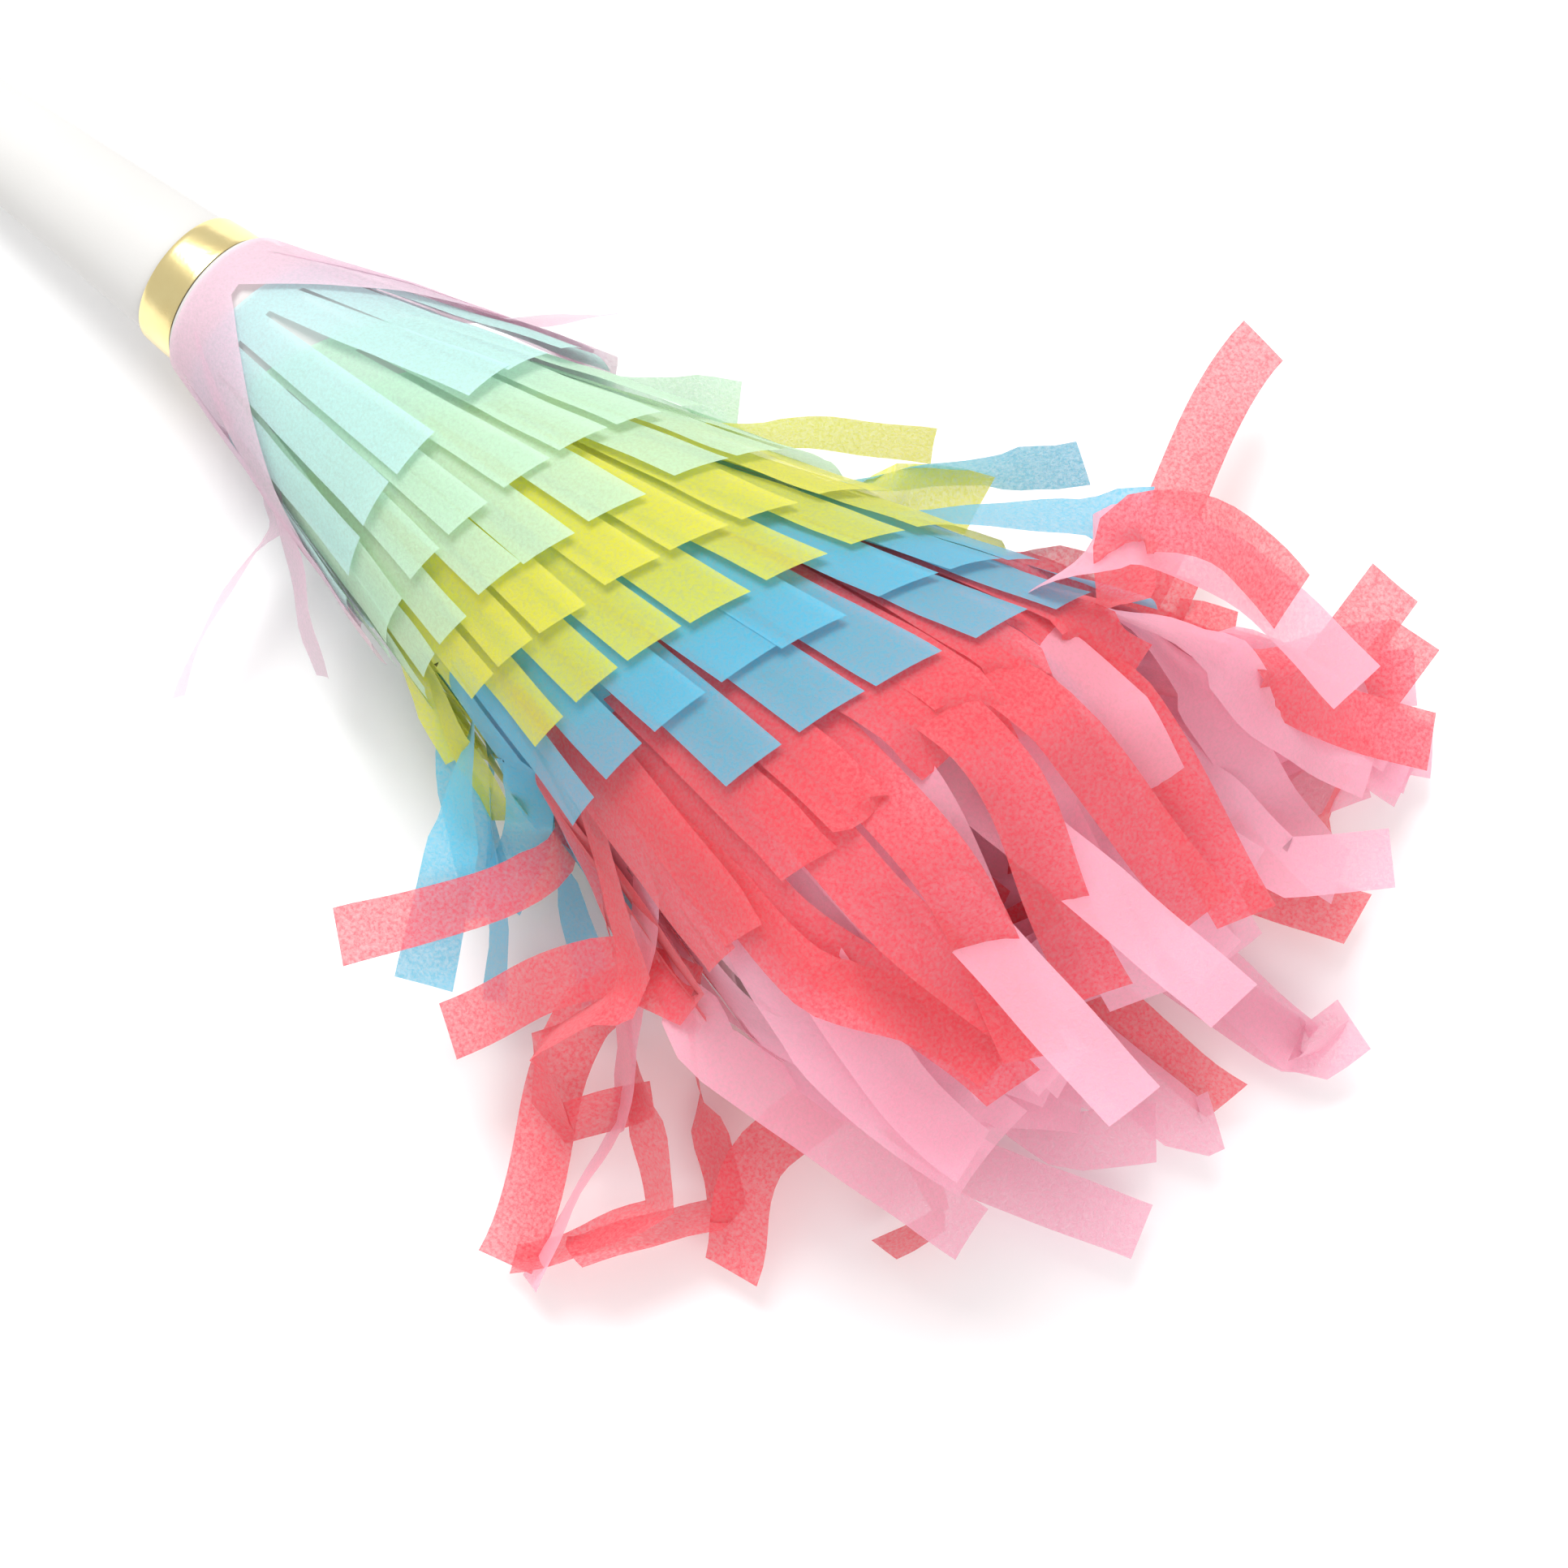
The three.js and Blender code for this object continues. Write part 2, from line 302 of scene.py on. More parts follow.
def tissue(name, color):
    """Thin coloured tissue: it scatters light, lets some through, and shows what is close behind it."""
    material, nodes = new_material(name)
    paper = use_group(nodes, TISSUE_PAPER, Color=(*color, 1))
    normal = bumped(nodes, paper.outputs["Height"], 0.5, 0.00008)
    front = nodes.add("ShaderNodeBsdfPrincipled")
    front.inputs["Specular IOR Level"].default_value = 0.2
    front.inputs["Sheen Weight"].default_value = 0.25
    front.inputs["Sheen Roughness"].default_value = 0.5
    nodes.link(paper.outputs["Color"], front.inputs["Base Color"])
    nodes.link(paper.outputs["Roughness"], front.inputs["Roughness"])
    nodes.link(paper.outputs["Alpha"], front.inputs["Alpha"])
    nodes.link(normal, front.inputs["Normal"])
    through = nodes.add("ShaderNodeBsdfTranslucent")
    nodes.link(paper.outputs["Color"], through.inputs["Color"])
    nodes.link(normal, through.inputs["Normal"])
    mix = nodes.add("ShaderNodeMixShader")
    mix.inputs[0].default_value = 0.35
    nodes.link(front.outputs[0], mix.inputs[1])
    nodes.link(through.outputs[0], mix.inputs[2])
    shown(nodes, mix)
    return material


def white_card():
    material, nodes = new_material("white_card")
    grain = use_group(nodes, FINE_GRAIN, Color=(0.59, 0.58, 0.565, 1), Shade=(0.55, 0.535, 0.51, 1))
    surface = nodes.add("ShaderNodeBsdfPrincipled")
    surface.inputs["Roughness"].default_value = 0.62
    surface.inputs["Specular IOR Level"].default_value = 0.35
    nodes.link(grain.outputs["Color"], surface.inputs["Base Color"])
    nodes.link(bumped(nodes, grain.outputs["Height"], 0.25, 0.00006), surface.inputs["Normal"])
    shown(nodes, surface)
    return material


def white_plastic():
    material, nodes = new_material("white_plastic")
    grain = use_group(
        nodes, FINE_GRAIN, Color=(0.68, 0.68, 0.67, 1), Shade=(0.64, 0.64, 0.62, 1), Grain_Scale=1400.0
    )
    surface = nodes.add("ShaderNodeBsdfPrincipled")
    surface.inputs["Subsurface Weight"].default_value = 0.15
    surface.inputs["Subsurface Radius"].default_value = (0.001, 0.001, 0.0009)
    surface.inputs["Coat Roughness"].default_value = 0.2
    rough = nodes.add("ShaderNodeMapRange")
    rough.inputs["To Min"].default_value = 0.28
    rough.inputs["To Max"].default_value = 0.42
    nodes.link(grain.outputs["Mask"], rough.inputs["Value"])
    nodes.link(rough.outputs[0], surface.inputs["Roughness"])
    nodes.link(grain.outputs["Color"], surface.inputs["Base Color"])
    nodes.link(bumped(nodes, grain.outputs["Height"], 0.08, 0.00005), surface.inputs["Normal"])
    shown(nodes, surface)
    return material


def gold_foil():
    material, nodes = new_material("gold_foil")
    grain = use_group(
        nodes,
        FINE_GRAIN,
        Color=(0.86, 0.72, 0.36, 1),
        Shade=(0.74, 0.57, 0.24, 1),
        Grain_Scale=700.0,
        Stain_Scale=220.0,
    )
    surface = nodes.add("ShaderNodeBsdfPrincipled")
    surface.inputs["Metallic"].default_value = 1.0
    rough = nodes.add("ShaderNodeMapRange")
    rough.inputs["To Min"].default_value = 0.16
    rough.inputs["To Max"].default_value = 0.34
    nodes.link(grain.outputs["Mask"], rough.inputs["Value"])
    nodes.link(rough.outputs[0], surface.inputs["Roughness"])
    nodes.link(grain.outputs["Color"], surface.inputs["Base Color"])
    nodes.link(bumped(nodes, grain.outputs["Height"], 0.3, 0.0001), surface.inputs["Normal"])
    shown(nodes, surface)
    return material


def reed_brass():
    material, nodes = new_material("reed_brass")
    grain = use_group(nodes, FINE_GRAIN, Color=(0.78, 0.57, 0.25, 1), Shade=(0.5, 0.34, 0.14, 1))
    surface = nodes.add("ShaderNodeBsdfPrincipled")
    surface.inputs["Metallic"].default_value = 1.0
    surface.inputs["Roughness"].default_value = 0.3
    nodes.link(grain.outputs["Color"], surface.inputs["Base Color"])
    nodes.link(bumped(nodes, grain.outputs["Height"], 0.1, 0.00003), surface.inputs["Normal"])
    shown(nodes, surface)
    return material


def table_top():
    material, nodes = new_material("table_top")
    grain = use_group(nodes, FINE_GRAIN, Color=(0.93, 0.93, 0.93, 1), Shade=(0.91, 0.91, 0.91, 1))
    surface = nodes.add("ShaderNodeBsdfPrincipled")
    surface.inputs["Roughness"].default_value = 0.7
    surface.inputs["Specular IOR Level"].default_value = 0.2
    nodes.link(grain.outputs["Color"], surface.inputs["Base Color"])
    shown(nodes, surface)
    return material


# ---- meshes ----
def add_piece(name, points, faces, material, sharp_angle=40):
    """A piece from points on the table's axes in millimetres."""
    mesh = bpy.data.meshes.new(name)
    mesh.from_pydata((np.asarray(points) * MM).tolist(), [], faces)
    mesh.validate()
    mesh.materials.append(material)
    mesh.shade_smooth()
    mesh.set_sharp_from_angle(angle=math.radians(sharp_angle))
    piece = bpy.data.objects.new(name, mesh)
    bpy.context.scene.collection.objects.link(piece)
    return piece


def stands_for(piece, node, body="horn"):
    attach(piece, body)
    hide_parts(node)
    return piece


def rounded(section, radius, steps=4):
    """The closed section with its corners rounded."""
    corners = [np.array(corner, float) for corner in section]
    smooth = []
    for before, corner, after in zip(corners[-1:] + corners[:-1], corners, corners[1:] + corners[:1]):
        reach = min(radius, np.linalg.norm(before - corner) / 2.2, np.linalg.norm(after - corner) / 2.2)
        start = corner + (before - corner) / np.linalg.norm(before - corner) * reach
        end = corner + (after - corner) / np.linalg.norm(after - corner) * reach
        for t in np.linspace(0, 1, steps):
            smooth.append((1 - t) ** 2 * start + 2 * t * (1 - t) * corner + t**2 * end)
    return smooth


def turned(section, sides, lap, seam):
    """A closed [along, radius] section turned about the horn's axis.
    A rolled sheet climbs by its lap in one turn and steps back at its seam, whose angle is in degrees."""
    n = len(section)
    points = []
    for i in range(sides):
        angle = math.radians(seam) + 2 * math.pi * i / sides
        for x, radius in section:
            r = radius + lap * (i / (sides - 1) - 0.5)
            points.append((x, r * math.sin(angle), r * math.cos(angle)))
    faces = []
    for i in range(sides):
        this, following = i * n, (i + 1) % sides * n
        for j in range(n):
            k = (j + 1) % n
            faces.append((this + k, this + j, following + j, following + k))
    return to_table(points), faces


# ---- mouthpiece, tube, band and cone ----
def make_mouthpiece(material):
    collar = TUBE_END - CLEARANCE
    plug = tube_radius(TUBE_END) - TUBE_WALL - CLEARANCE
    section = [
        (LIP, BORE),
        (TUBE_END + PLUG_DEPTH, BORE),
        (TUBE_END + PLUG_DEPTH, plug + 0.5),
        (collar, plug),
        (collar, COLLAR_RADIUS),
        (collar - 2.6, COLLAR_RADIUS),
        (collar - 3.4, NECK_RADIUS),
        (LIP + 4, LIP_EDGE_RADIUS),
        (LIP + 2.8, LIP_RADIUS),
        (LIP + 0.8, LIP_RADIUS),
        (LIP, LIP_EDGE_RADIUS),
    ]
    moulded = turned(rounded(section, MOULDED_EDGE), 96, 0.0, TUBE_SEAM)
    piece = add_piece("horn_mouthpiece", *moulded, material, 60)
    stands_for(piece, "mouthpiece")


def shell(start, end, radius_at, thickness, stations=1):
    along = np.linspace(start, end, stations + 1)
    inside = [(x, radius_at(x) - thickness) for x in along]
    outside = [(x, radius_at(x)) for x in along[::-1]]
    return rounded(inside + outside, thickness * 0.3, 3)


def make_tube(material):
    section = shell(TUBE_END, TUBE_INNER_END, tube_radius, TUBE_WALL)
    piece = add_piece("rolled_tube", *turned(section, 128, TUBE_LAP, TUBE_SEAM), material, 50)
    stands_for(piece, "mouth_tube")


def make_band(material):
    def foil_radius(x):
        swell = FOIL_SWELL * math.sin(math.pi * (x - BAND_BACK) / (BAND_FRONT - BAND_BACK))
        return tube_radius(x) + CLEARANCE + FOIL + swell

    section = shell(BAND_BACK, BAND_FRONT, foil_radius, FOIL, 8)
    piece = add_piece("foil_band", *turned(section, 128, FOIL_LAP, FOIL_SEAM), material, 50)
    stands_for(piece, "gold_band")


def make_cone(material):
    section = shell(CONE_START, CONE_RIM, cone_radius, CARD)
    piece = add_piece("rolled_cone", *turned(section, 160, CONE_LAP, CONE_SEAM), material, 50)
    return stands_for(piece, "horn_cone")


# ---- fringe ----
COLUMNS = 4  # strips of mesh across one tail
STATION = 2.0  # mesh spacing along a tail
REACH_BACK, REACH_ON = 6.0, 8.0  # a path is known from before its root to past its tail's end
PATH_POINTS, CURVE_POINTS = 150, 50
ASIDE = 0.002  # radians, to find the direction across a tail
FIRM, FREE_END = 7.0, 6.0  # a loose tail stays down for the first, and is free for the last, at least
EASY_BEND = 0.36  # the reach of a bend that neither bulges nor pulls straight
LEAST_BEND, MOST_BEND, HALVINGS = 0.05, 2.0, 20
STRAIGHT_ON = np.array([[2.0], [4.0]])  # past the end of a loose tail
TURNED_BY = 0.625  # share of a loose tail in which it turns to its tilt
EDGE_ON = -0.2  # a tail whose face turns further than this shows its other face

# The tassel, in millimetres and degrees: the rows hang from the rim in the order of TASSEL
HELD_PAST_RIM, HELD_LESS = 7, 4
FAN_MIDDLE, FAN_TOP = 22.0, 28.0
DROOP, DROOP_BY_ROW, DROOP_ON_TOP, DROOP_AT_END = 12, 7, 7, 1.3

# How the paper moves: how soon a tail is free or ripples, and how high its ripples are
FREED_OVER, RIPPLED_OVER = 10, 15
EVERY_OTHER, LAID_RIPPLE, FREE_RIPPLE, USUAL_WAVE = 0.12, 0.06, 0.16, 14
SLANT_LOST = 0.35  # share of a tail's slant across the cone that is gone at its end


class Row:
    """One strip of tissue wound round the cone: an uncut glued edge, and tails with slits between.
    root and length are along the cone, and skew is how far the strip's slant carries it either way.
    first is the angle of its first tail in degrees, from the top, and spread how untidy its tails are."""

    def __init__(self, node, slot, root, length, skew, tails, first, spread=1.0):
        self.node, self.slot = node, slot
        self.root, self.length, self.skew = root, length, skew
        self.tails, self.first, self.spread = tails, first, spread

    def root_at(self, angle):
        return self.root + self.skew * np.sin(angle)

    def angle_of(self, tail):
        return math.radians(self.first + 360 / self.tails * tail)


def laid(row, angle, x, rise):
    """Where tissue lies on the horn, on its own axes, and past the rim where it settles on the table."""
    past = np.maximum(0, x - CONE_RIM)
    lift = LIFT * (1 + PRESSED * np.cos(angle)) * (x - row.root_at(angle))
    radius = cone_radius(x - past) + FLARE * past + CLEARANCE + lift + rise
    y, z = radius * np.sin(angle), radius * np.cos(angle)
    share = 1 - FLATTEN * past
    tassel = RIM_FRINGE_RADIUS + (FLARE + LIFT) * past
    table = (TABLE[2] + x * ALONG.z) / ALONG.x
    z = np.where(past > 0, z * share + tassel * share - table, z)
    return np.stack([x, y, z], axis=-1)


def unit(v):
    return v / np.linalg.norm(v, axis=-1, keepdims=True)


class Path:
    """A tail's middle line with its width direction and normal, known by the length along it."""

    def __init__(self, points, across, normals, start=0.0):
        steps = np.linalg.norm(np.diff(points, axis=0), axis=1)
        self.s = np.concatenate([[0], np.cumsum(steps)]) + start
        self.points, self.across, self.normals = points, across, normals

    def at(self, s):
        def pick(values):
            return np.stack([np.interp(s, self.s, values[:, i]) for i in range(3)], axis=-1)

        return pick(self.points), unit(pick(self.across)), unit(pick(self.normals))


def laid_path(row, tail, yaw, rise):
    """The path of a tail that lies on the horn, turned by yaw from the horn's own lines."""
    angle = row.angle_of(tail)
    root = float(row.root_at(angle))
    x = root + np.linspace(-REACH_BACK, row.length + REACH_ON, PATH_POINTS)
    turned_by = math.tan(yaw) * np.maximum(0, x - root - HEADER) / cone_radius(x)
    points = laid(row, angle + turned_by, x, rise)
    beside = laid(row, angle + turned_by + ASIDE, x, rise)
    tangent = unit(np.gradient(points, axis=0))
    normals = unit(np.cross(tangent, unit(beside - points)))
    across = np.cross(normals, tangent)
    start = -np.linalg.norm(points[x < root][0] - points[x >= root][0])
    return Path(to_table(points), across @ AXES, normals @ AXES, start)


def compass(heading, pitch=0.0):
    """A direction from +X towards +Y by heading, climbing by pitch, in degrees."""
    turn, climb = math.radians(heading), math.radians(pitch)
    return np.array([math.cos(turn) * math.cos(climb), math.sin(turn) * math.cos(climb), math.sin(climb)])


def freed(path, leaves, stops, ending, reach):
    """The free part of a tail, from where it leaves its path through the stops, as one smooth curve."""
    before, start = path.at(np.array([leaves - 1.0, leaves]))[0]
    stops = [start, *stops]
    heads = [unit(start - before)]
    heads += [unit(after - earlier) for earlier, after in zip(stops[:-2], stops[2:])]
    heads += [ending]
    t = np.linspace(0, 1, CURVE_POINTS)[:, None]
    parts = [stops[0][None, :]]
    for a, b, head_a, head_b in zip(stops, stops[1:], heads, heads[1:]):
        handle = reach * np.linalg.norm(b - a)
        c, d = a + head_a * handle, b - head_b * handle
        part = (1 - t) ** 3 * a + 3 * t * (1 - t) ** 2 * c + 3 * t**2 * (1 - t) * d + t**3 * b
        parts.append(part[1:])
    return np.concatenate(parts)


def run(points):
    return np.linalg.norm(np.diff(points, axis=0), axis=1).sum()


def loosened(path, length, to, heading, pitch=0.0, tilt=0.0, via=(), leaves=None):
    """The path again, leaving the horn for a place on the table's axes, and where it leaves.
    heading and pitch give the direction of its end, and via any places it passes on the way.
    It leaves where the rest of it reaches its place in an easy bend, unless that length is given.
    A tail turns as it goes until it lies flat, or to its tilt: 90 degrees stands it on its edge."""
    stops = [np.array(place, float) for place in (*via, to)]
    ending = compass(heading, pitch)
    if leaves is None:
        tries = np.arange(FIRM, length - FREE_END)
        leaves = min(tries, key=lambda s: abs(s + run(freed(path, s, stops, ending, EASY_BEND)) - length))
    # the bend's reach is narrowed down until the tail keeps its own length
    low, high = LEAST_BEND, MOST_BEND
    for _ in range(HALVINGS):
        reach = (low + high) / 2
        points = freed(path, leaves, stops, ending, reach)
        if run(points) > length - leaves:
            high = reach
        else:
            low = reach
    points = np.concatenate([points, points[-1:] + ending * STRAIGHT_ON])
    tangents = unit(np.gradient(points, axis=0))
    carried = path.at(np.array([leaves]))[2][0]
    normals = []
    turn = math.radians(tilt)
    for i, along in enumerate(tangents):
        carried = unit(carried - along * (carried @ along))
        flat = unit(np.array([0, 0, 1]) - along * along[2])
        wanted = flat * math.cos(turn) + np.cross(along, flat) * math.sin(turn)
        wanted = wanted * (1 if carried @ wanted >= EDGE_ON else -1)
        share = min(1.0, i / len(tangents) / TURNED_BY)
        share = share * share * (3 - 2 * share)
        normals.append(unit(carried * (1 - share) + wanted * share))
        carried = normals[-1] if share > 0.5 else carried
    normals = np.array(normals)
    across = np.cross(normals, tangents)
    known = path.s < leaves
    joined = [
        np.concatenate([old[known], new])
        for old, new in ((path.points, points), (path.across, across), (path.normals, normals))
    ]
    return Path(*joined, path.s[0]), leaves


def fallen(row, tail, path, chance):
    """Where a tail of the tassel falls once it is past the rim: those on top arch over the bell,
    those below fan out on the table, and the rows nearer the bell hang lower."""
    angle = row.angle_of(tail)
    top = math.cos(angle)
    order = TASSEL.index(row.node)
    held = CONE_RIM + HELD_PAST_RIM - HELD_LESS * order - row.root_at(angle)
    leaves = max(FIRM, held + chance.uniform(-3, 3))
    start = path.at(np.array([leaves]))[0][0]
    heading = FAN_MIDDLE - FAN_TOP * top + chance.uniform(-12, 12)
    pitch = -DROOP - DROOP_BY_ROW * order - DROOP_ON_TOP * top + chance.uniform(-3, 3)
    to = start + compass(heading, pitch) * (row.length - leaves) * chance.uniform(0.9, 0.96)
    to[2] = max(to[2], chance.uniform(3, 8))
    heading += chance.uniform(-8, 22)
    return dict(to=to, heading=heading, pitch=pitch * DROOP_AT_END, tilt=chance.uniform(0, 20), leaves=leaves)


def tail_grid(row, tail, path, chance, free_from):
    """The surface of one tail, as points by station and column, and the area it is cut to."""
    angle = row.angle_of(tail)
    root = row.root_at(angle)
    steps = np.arange(HEADER + STATION, row.length - 1, STATION)
    stations = np.concatenate([[0, HEADER], steps, [row.length]])[:, None]
    # side by side at the glued edge, and at their own width where the cone is wide enough
    pitch = 2 * math.pi * (cone_radius(np.minimum(root + stations, CONE_RIM)) + CLEARANCE) / row.tails
    width = np.minimum(TAIL_WIDTH, pitch - SLIT * (stations > 0))
    width[0, 0] = width[1, 0]
    cut = np.sum((width[1:] + width[:-1]) / 2 * np.diff(stations, axis=0))
    a = np.linspace(-0.5, 0.5, COLUMNS + 1)[None, :] * width
    header = cone_radius(root) + CLEARANCE
    slant = row.skew * math.cos(angle) / header * (1 - SLANT_LOST * stations / row.length)
    s = stations + a * slant
    points, sideways, normals = path.at(s)
    a, s = a[:, :, None], s[:, :, None]
    # a tail that lies on the horn bends round it, and a free one is cupped a little
    free = np.clip((s - free_from) / FREED_OVER, 0, 1)
    radius = cone_radius(np.minimum(root + s, CONE_RIM)) + 2
    bend = (1 - free) * -(a**2) / (2 * radius) + free * chance.uniform(-0.012, 0.02) * a**2
    grow = np.clip((s - HEADER) / RIPPLED_OVER, 0, 1)
    ripple = EVERY_OTHER * (tail % 2) * grow
    for wave in (chance.uniform(9, 14), chance.uniform(16, 30)):
        phase, side = chance.uniform(0, 6.3), chance.uniform(-1, 1)
        sway = np.sin(2 * math.pi * s / wave + phase + side * a / 3)
        ripple = ripple + sway * (LAID_RIPPLE + FREE_RIPPLE * free) * grow * wave / USUAL_WAVE
    return points + sideways * a + normals * (bend + ripple), cut


def strip_mesh(grids):
    """Points and faces of one strip: tails side by side, joined along their glued edge."""
    across = COLUMNS + 1
    starts = np.cumsum([0] + [grid[:, :, 0].size for grid in grids])
    faces = []

    def corner(tail, station, column):
        return int(starts[tail]) + station * across + column

    for tail, grid in enumerate(grids):
        for station in range(len(grid) - 1):
            for column in range(COLUMNS):
                here, there = (station, column), (station + 1, column + 1)
                faces.append(
                    [corner(tail, *here), corner(tail, there[0], here[1])]
                    + [corner(tail, *there), corner(tail, here[0], there[1])]
                )
        beside = (tail + 1) % len(grids)
        faces.append(
            [corner(tail, 0, COLUMNS), corner(tail, 1, COLUMNS), corner(beside, 1, 0), corner(beside, 0, 0)]
        )
    return np.concatenate([grid.reshape(-1, 3) for grid in grids]), faces


def make_row(row, material, seed):
    chance = random.Random(seed)
    grids, area = [], 0.0
    for tail in range(row.tails):
        yaw = chance.uniform(-2, 2) * row.spread + YAWS.get(row.node, {}).get(tail, 0)
        path, free_from = laid_path(row, tail, math.radians(yaw), PAPER_GAP), row.length
        loose = LOOSE.get(row.node, {}).get(tail)
        if loose is None and row.node in TASSEL:
            loose = fallen(row, tail, path, chance)
        if loose:
            path, free_from = loosened(path, row.length, **loose)
        grid, cut = tail_grid(row, tail, path, chance, free_from)
        grids.append(grid)
        area += cut
    points, faces = strip_mesh(grids)
    points[:, 2] = np.maximum(points[:, 2], PAPER_GAP)
    piece = add_piece(row.node.replace("fringe", "tissue"), points, faces, material, 60)
    stands_for(piece, row.node)
    return piece


ROWS = [
    Row("fringe_pale_pink", "pale_pink_tissue", -0.6, 44, 0, 10, 18),
    Row("fringe_aqua", "aqua_tissue", 6, 34, 2, 16, -12),
    Row("fringe_mint_upper", "mint_tissue", 17, 35, 7, 20, 0),
    Row("fringe_mint_lower", "mint_tissue", 26, 35.5, 10, 20, -9),
    Row("fringe_yellow_upper", "yellow_tissue", 34.5, 36, 12, 22, -4),
    Row("fringe_yellow_lower", "yellow_tissue", 43, 37, 12, 22, 1),
    Row("fringe_blue_upper", "blue_tissue", 51.5, 37, 12, 22, -8),
    Row("fringe_blue_lower", "blue_tissue", 60, 38, 12, 22, -4),
    Row("fringe_coral_upper", "coral_tissue", 67.5, 42, 10, 24, 2, 2.5),
    Row("fringe_coral_lower", "coral_tissue", 75, 66, 8, 24, -6, 3),
    Row("fringe_pink_upper", "pink_tissue", 82.5, 62, 5, 24, 4, 3),
    Row("fringe_pink_lower", "pink_tissue", 89.5, 61.5, 3.5, 24, -3, 3),
]

# Tails that lie on the horn but turn aside, in degrees
YAWS = {
    "fringe_pale_pink": {0: 30, 1: 14, 2: 4, 9: -38, 8: -22, 3: -10},
    "fringe_aqua": {1: 4},
    "fringe_coral_upper": {22: -4, 23: 2, 1: -1, 2: -8},
}

# Rows whose tails hang past the rim as the tassel
TASSEL = ("fringe_coral_upper", "fringe_coral_lower", "fringe_pink_upper", "fringe_pink_lower")

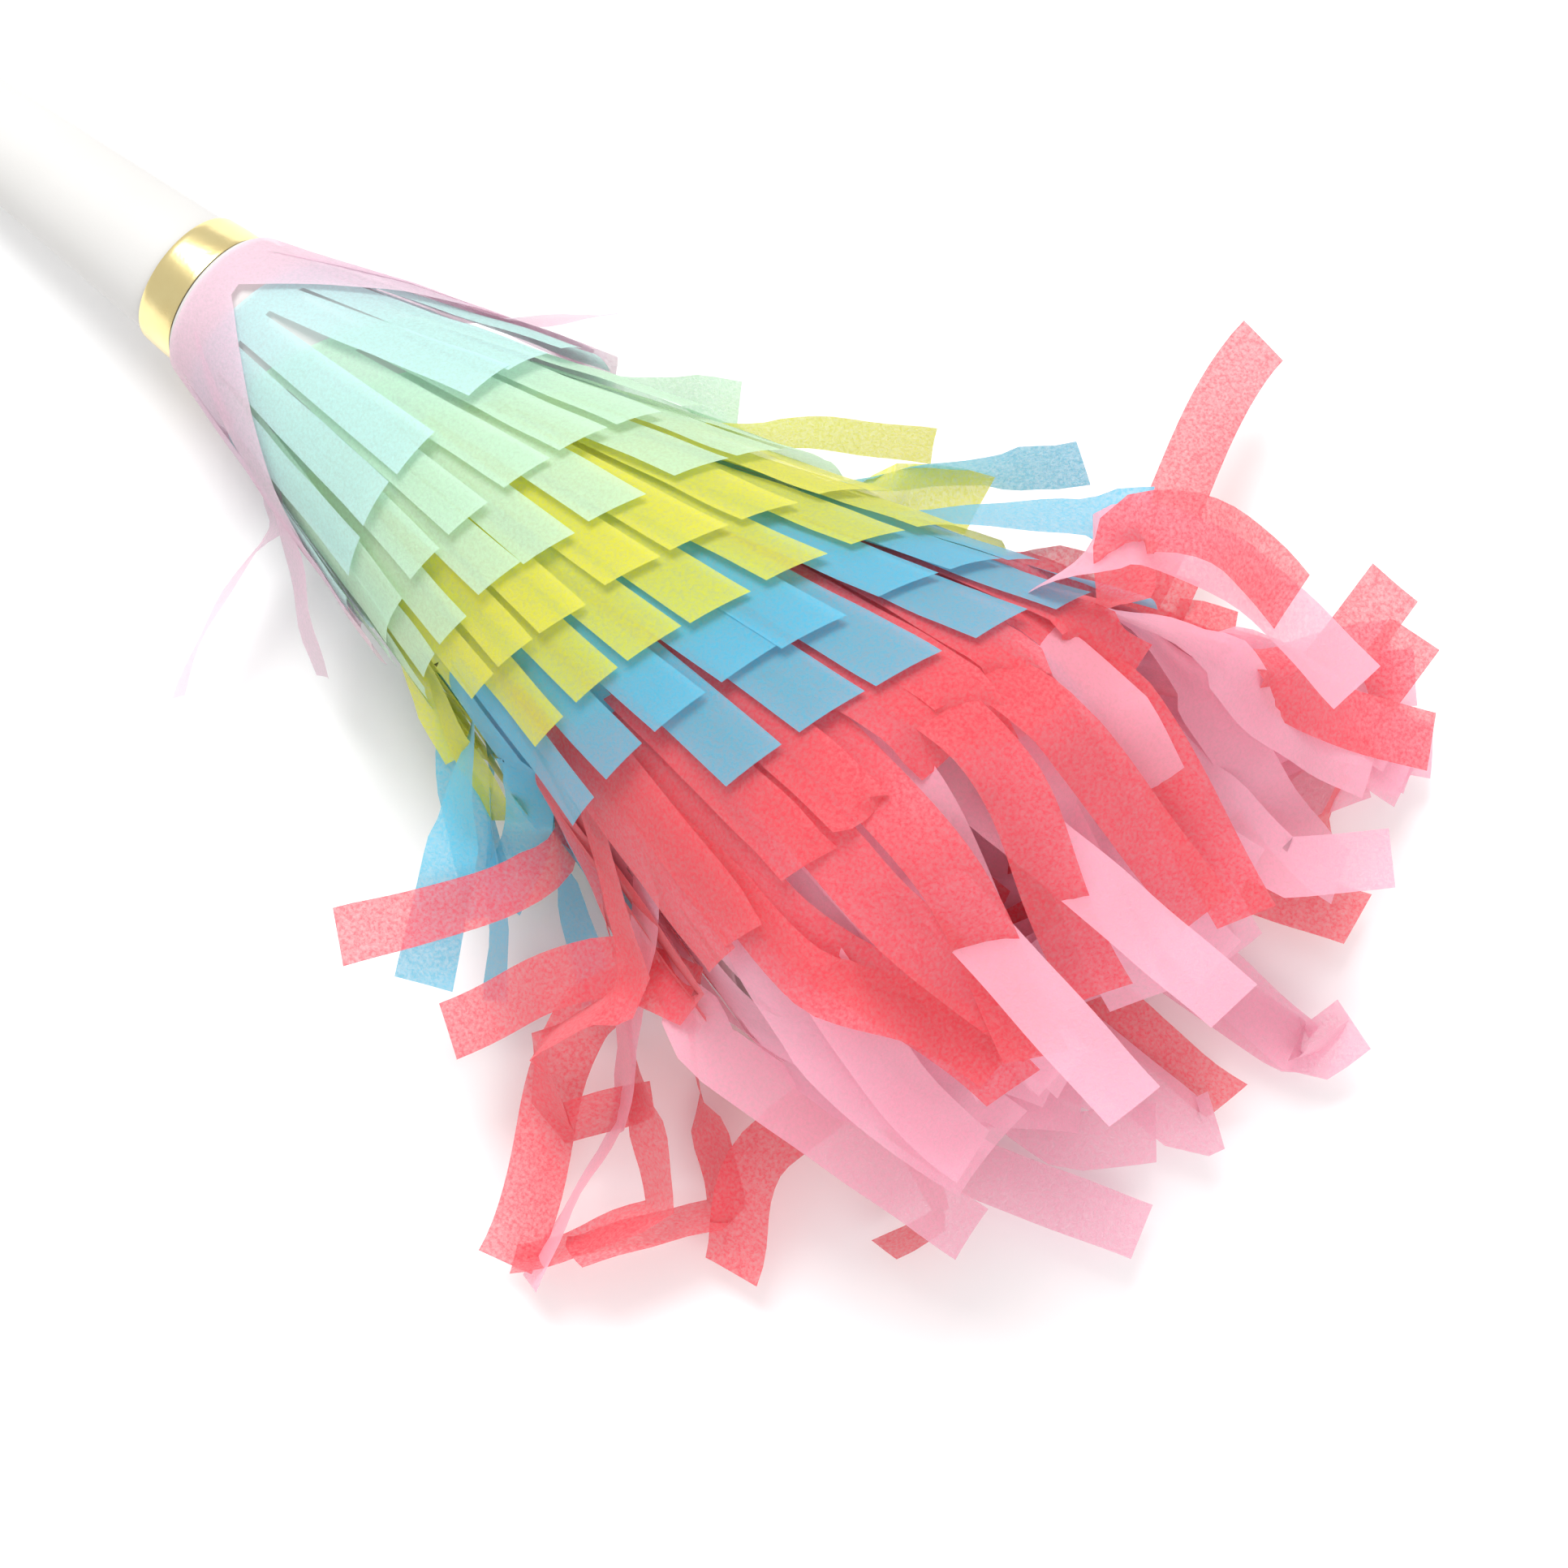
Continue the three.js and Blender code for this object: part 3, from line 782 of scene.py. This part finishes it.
# Tails with a place of their own, given one by one: to and via are millimetres on the table's axes
LOOSE = {
    "fringe_pale_pink": {
        # one stands out to the side, and two hang down the other side
        2: dict(to=(0, 30, 25), heading=50, pitch=5, tilt=105, via=[(-15, 15, 25)], leaves=10),
        6: dict(to=(-20, -40, 10), heading=-65, pitch=-5, tilt=70, leaves=10),
        8: dict(to=(-5, -30, 10), heading=-30, pitch=-10, tilt=75, via=[(-25, -15, 20)], leaves=12),
    },
    "fringe_mint_upper": {
        4: dict(to=(25, 30, 25), heading=30, pitch=-5, tilt=50, leaves=20),
    },
    "fringe_yellow_upper": {
        5: dict(to=(30, 35, 20), heading=30, pitch=-5, tilt=70),
        17: dict(to=(25, -30, 15), heading=-45, pitch=-15, tilt=30, leaves=20),
        18: dict(to=(20, -15, 25), heading=-20, pitch=-10, tilt=20, leaves=24),
    },
    "fringe_yellow_lower": {
        4: dict(to=(40, 30, 30), heading=20, pitch=-5, tilt=20),
        17: dict(to=(35, -35, 10), heading=-45, pitch=-15, tilt=60, leaves=16),
        18: dict(to=(20, -20, 15), heading=-45, pitch=-15, tilt=40, leaves=20),
    },
    "fringe_blue_upper": {
        5: dict(to=(50, 50, 30), heading=70, pitch=10, tilt=60, via=[(45, 40, 30)]),
        17: dict(to=(35, -45, 5), heading=-60, pitch=-10, tilt=10),
        18: dict(to=(30, -25, 15), heading=-35, pitch=-10, tilt=30, leaves=24),
    },
    "fringe_blue_lower": {
        4: dict(to=(65, 45, 30), heading=-10, pitch=-15, via=[(60, 40, 40)]),
        15: dict(to=(60, -50, 5), heading=-50, pitch=-10, tilt=55),
        16: dict(to=(40, -55, 5), heading=-70, pitch=-10, tilt=65),
        17: dict(to=(30, -60, 10), heading=-80, pitch=-10),
        18: dict(to=(25, -35, 15), heading=-80, pitch=-10, tilt=20),
        19: dict(to=(40, -30, 20), heading=-45, pitch=-20, tilt=65),
        20: dict(to=(35, -20, 30), heading=-35, pitch=-20, tilt=30),
    },
    "fringe_coral_upper": {
        4: dict(to=(65, 35, 30), heading=25, pitch=-10, tilt=20),
        5: dict(to=(70, 35, 20), heading=25, pitch=-10, tilt=20),
        # flung out to the side, near the blue tails
        17: dict(to=(15, -50, 20), heading=-125, pitch=-5),
        19: dict(to=(55, -35, 20), heading=0, pitch=-15, tilt=70),
    },
    "fringe_coral_lower": {
        # an arch over the bell's far side
        4: dict(to=(75, 35, 55), heading=0, pitch=-30, via=[(60, 30, 65)]),
        5: dict(to=(80, 55, 20), heading=90, pitch=10, via=[(80, 40, 20)]),
        7: dict(to=(85, 55, 15), heading=90, pitch=10, via=[(85, 40, 10)]),
        # the longest stray, straight out to the side
        8: dict(to=(50, 72, 10), heading=85),
        9: dict(to=(90, 40, 10), heading=20, pitch=-5, tilt=80),
        11: dict(to=(110, 30, 5), heading=40, pitch=5),
        12: dict(to=(110, 15, 10), heading=75, pitch=10, tilt=45, via=[(105, 0, 5)]),
        # hooks and curls on the table, on the near side
        14: dict(to=(70, -45, 10), heading=-160, pitch=5, tilt=60, via=[(85, -30, 5), (80, -40, 5)]),
        15: dict(to=(70, -50, 5), heading=-70, pitch=-5, tilt=10, via=[(65, -40, 10)]),
        16: dict(to=(55, -60, 10), heading=-140, tilt=50, via=[(65, -45, 5)]),
        17: dict(to=(50, -65, 5), heading=-80, pitch=-5, via=[(40, -40, 10)]),
        18: dict(to=(50, -65, 5), heading=-160, tilt=55, via=[(60, -50, 10)]),
        19: dict(to=(30, -50, 15), heading=-120, pitch=-10, via=[(40, -35, 25)]),
        20: dict(to=(55, -35, 10), heading=50, tilt=60, via=[(45, -35, 30), (40, -45, 20), (45, -50, 10)]),
    },
    "fringe_pink_upper": {
        # two come out on top, between the coral tails
        0: dict(to=(100, 0, 45), heading=-10, pitch=-25),
        23: dict(to=(95, -15, 50), heading=0, pitch=-20),
        # under the coral arch
        3: dict(to=(85, 35, 45), heading=0, pitch=-30, via=[(60, 30, 60)]),
        12: dict(to=(105, 5, 15), heading=80, pitch=20, via=[(100, -5, 5)]),
        14: dict(to=(105, 0, 10), heading=50, pitch=5, via=[(90, -15, 5)]),
        18: dict(to=(95, -30, 10), heading=5, pitch=-10, via=[(55, -35, 30)]),
        # one long thin stray, on its edge
        19: dict(to=(55, -70, 5), heading=-80, pitch=-5, tilt=70, via=[(50, -45, 10)]),
    },
    "fringe_pink_lower": {
        4: dict(to=(105, 35, 25), heading=50, via=[(90, 20, 25)]),
        10: dict(to=(110, 30, 15), heading=80, pitch=10, via=[(105, 10, 5)]),
        11: dict(to=(105, 20, 25), heading=90, pitch=25, tilt=70, via=[(105, 10, 5)]),
        16: dict(to=(110, -15, 5), heading=30, via=[(80, -25, 5)]),
    },
}

TISSUE_COLORS = {
    "pale_pink_tissue": (0.89, 0.64, 0.75),
    "aqua_tissue": (0.60, 0.86, 0.87),
    "mint_tissue": (0.63, 0.87, 0.69),
    "yellow_tissue": (0.83, 0.79, 0.07),
    "blue_tissue": (0.13, 0.58, 0.79),
    "coral_tissue": (0.88, 0.10, 0.13),
    "pink_tissue": (0.94, 0.47, 0.60),
}


def make_floor():
    half = 3000
    corners = [(-half, -half, 0), (half, -half, 0), (half, half, 0), (-half, half, 0)]
    table = add_piece("table", corners, [(0, 1, 2, 3)], table_top())


make_camera()
make_light()
make_floor()
plastic, card = white_plastic(), white_card()
make_mouthpiece(plastic)
make_tube(card)
make_band(gold_foil())
cone_piece = make_cone(card)
for node, material in (("reed_holder", plastic), ("reed_wedge", plastic), ("reed_tongue", reed_brass())):
    materials = frame["nodes"][node].data.materials
    if len(materials):
        materials[0] = material
    else:
        materials.append(material)
papers = {slot: tissue(slot, color) for slot, color in TISSUE_COLORS.items()}
for number, row in enumerate(ROWS):
    make_row(row, papers[row.slot], 40 + number)
